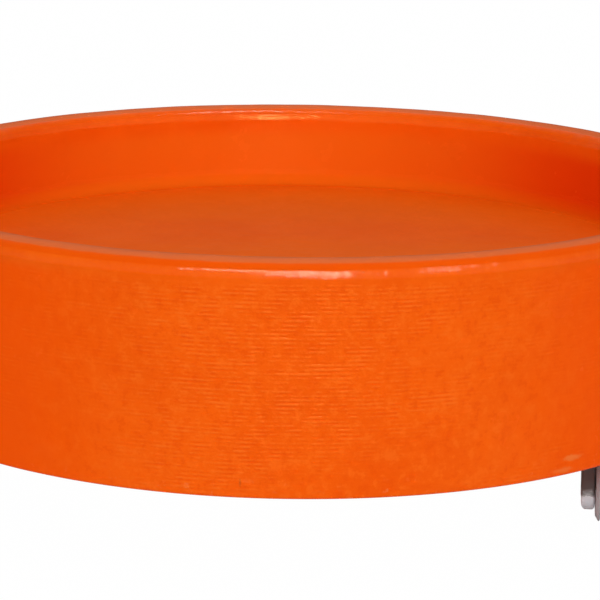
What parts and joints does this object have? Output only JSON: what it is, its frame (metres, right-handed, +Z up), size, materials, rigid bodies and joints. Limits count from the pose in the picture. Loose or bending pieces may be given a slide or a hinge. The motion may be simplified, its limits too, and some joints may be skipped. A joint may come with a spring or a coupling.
{
  "type": "rolling oil drain pan",
  "caption": "Round moulded tray with a thick rolled rim and a deep skirt, riding on swivel casters, for catching drained engine oil.",
  "frame": {"origin": "on the ground, under the centre of the tray", "axes": "+Z up, -Y towards the front as seen in the source view, +X to the right"},
  "size_m": [0.457, 0.457, 0.1696],
  "materials": {
    "orange_plastic": "glossy moulded polyethylene, faint moulding lines round the skirt",
    "black_plastic": "matt moulded plug",
    "plated_steel": "bright plated pressed steel",
    "zinc_steel": "zinc plated, satin",
    "bare_steel": "bare plate",
    "bearing_steel": "polished balls in a thin cage",
    "grey_plastic": "moulded nylon, satin",
    "rubber_tyre": "smooth grey rubber"
  },
  "bodies": {
    "pan": {"pan_body": "orange_plastic", "vent_plug": "black_plastic", "front_right_top_plate": "plated_steel", "front_right_kingpin": "zinc_steel", "front_right_race_cup": "plated_steel", "front_right_nut_plate": "bare_steel", "front_right_screw_1": "zinc_steel", "front_right_screw_2": "zinc_steel", "front_right_screw_3": "zinc_steel", "front_right_screw_4": "zinc_steel", "front_left_top_plate": "plated_steel", "front_left_kingpin": "zinc_steel", "front_left_race_cup": "plated_steel", "front_left_nut_plate": "bare_steel", "front_left_screw_1": "zinc_steel", "front_left_screw_2": "zinc_steel", "front_left_screw_3": "zinc_steel", "front_left_screw_4": "zinc_steel", "rear_top_plate": "plated_steel", "rear_kingpin": "zinc_steel", "rear_race_cup": "plated_steel", "rear_nut_plate": "bare_steel", "rear_screw_1": "zinc_steel", "rear_screw_2": "zinc_steel", "rear_screw_3": "zinc_steel", "rear_screw_4": "zinc_steel"},
    "front_right_swivel": {"front_right_fork": "plated_steel", "front_right_axle_rivet": "zinc_steel", "front_right_axle_sleeve": "zinc_steel", "front_right_guard_left": "grey_plastic", "front_right_guard_right": "grey_plastic"},
    "front_right_wheel": {"front_right_wheel_core": "grey_plastic", "front_right_tyre": "rubber_tyre"},
    "front_right_upper_race": {"front_right_upper_balls": "bearing_steel"},
    "front_right_lower_race": {"front_right_lower_balls": "bearing_steel"},
    "front_left_swivel": {"front_left_fork": "plated_steel", "front_left_axle_rivet": "zinc_steel", "front_left_axle_sleeve": "zinc_steel", "front_left_guard_left": "grey_plastic", "front_left_guard_right": "grey_plastic"},
    "front_left_wheel": {"front_left_wheel_core": "grey_plastic", "front_left_tyre": "rubber_tyre"},
    "front_left_upper_race": {"front_left_upper_balls": "bearing_steel"},
    "front_left_lower_race": {"front_left_lower_balls": "bearing_steel"},
    "rear_swivel": {"rear_fork": "plated_steel", "rear_axle_rivet": "zinc_steel", "rear_axle_sleeve": "zinc_steel", "rear_guard_left": "grey_plastic", "rear_guard_right": "grey_plastic"},
    "rear_wheel": {"rear_wheel_core": "grey_plastic", "rear_tyre": "rubber_tyre"},
    "rear_upper_race": {"rear_upper_balls": "bearing_steel"},
    "rear_lower_race": {"rear_lower_balls": "bearing_steel"}
  },
  "joints": [
    {"name": "front_right_swivel_turn", "type": "hinge", "parent": "pan", "child": "front_right_swivel", "pos_m": [0.16628, -0.096, 0.0616], "axis": [0, 0, 1], "continuous": true},
    {"name": "front_right_wheel_spin", "type": "hinge", "parent": "front_right_swivel", "child": "front_right_wheel", "pos_m": [0.16268, -0.11872, 0.025], "axis": [-0.9877, 0.1564, 0], "continuous": true},
    {"name": "front_right_upper_balls_roll", "type": "hinge", "parent": "pan", "child": "front_right_upper_race", "pos_m": [0.16628, -0.096, 0.0651], "axis": [0, 0, 1], "continuous": true},
    {"name": "front_right_lower_balls_roll", "type": "hinge", "parent": "pan", "child": "front_right_lower_race", "pos_m": [0.16628, -0.096, 0.0591], "axis": [0, 0, 1], "continuous": true},
    {"name": "front_left_swivel_turn", "type": "hinge", "parent": "pan", "child": "front_left_swivel", "pos_m": [-0.16628, -0.096, 0.0616], "axis": [0, 0, 1], "continuous": true},
    {"name": "front_left_wheel_spin", "type": "hinge", "parent": "front_left_swivel", "child": "front_left_wheel", "pos_m": [-0.18922, -0.0944, 0.025], "axis": [0.0698, 0.9976, 0], "continuous": true},
    {"name": "front_left_upper_balls_roll", "type": "hinge", "parent": "pan", "child": "front_left_upper_race", "pos_m": [-0.16628, -0.096, 0.0651], "axis": [0, 0, 1], "continuous": true},
    {"name": "front_left_lower_balls_roll", "type": "hinge", "parent": "pan", "child": "front_left_lower_race", "pos_m": [-0.16628, -0.096, 0.0591], "axis": [0, 0, 1], "continuous": true},
    {"name": "rear_swivel_turn", "type": "hinge", "parent": "pan", "child": "rear_swivel", "pos_m": [0, 0.192, 0.0616], "axis": [0, 0, 1], "continuous": true},
    {"name": "rear_wheel_spin", "type": "hinge", "parent": "rear_swivel", "child": "rear_wheel", "pos_m": [-0.02211, 0.18566, 0.025], "axis": [-0.2756, 0.9613, 0], "continuous": true},
    {"name": "rear_upper_balls_roll", "type": "hinge", "parent": "pan", "child": "rear_upper_race", "pos_m": [0, 0.192, 0.0651], "axis": [0, 0, 1], "continuous": true},
    {"name": "rear_lower_balls_roll", "type": "hinge", "parent": "pan", "child": "rear_lower_race", "pos_m": [0, 0.192, 0.0591], "axis": [0, 0, 1], "continuous": true}
  ],
  "couplings": [
    {"joint": "front_right_upper_balls_roll", "follows": "front_right_swivel_turn", "ratio": 0.5},
    {"joint": "front_right_lower_balls_roll", "follows": "front_right_swivel_turn", "ratio": 0.5},
    {"joint": "front_left_upper_balls_roll", "follows": "front_left_swivel_turn", "ratio": 0.5},
    {"joint": "front_left_lower_balls_roll", "follows": "front_left_swivel_turn", "ratio": 0.5},
    {"joint": "rear_upper_balls_roll", "follows": "rear_swivel_turn", "ratio": 0.5},
    {"joint": "rear_lower_balls_roll", "follows": "rear_swivel_turn", "ratio": 0.5}
  ]
}
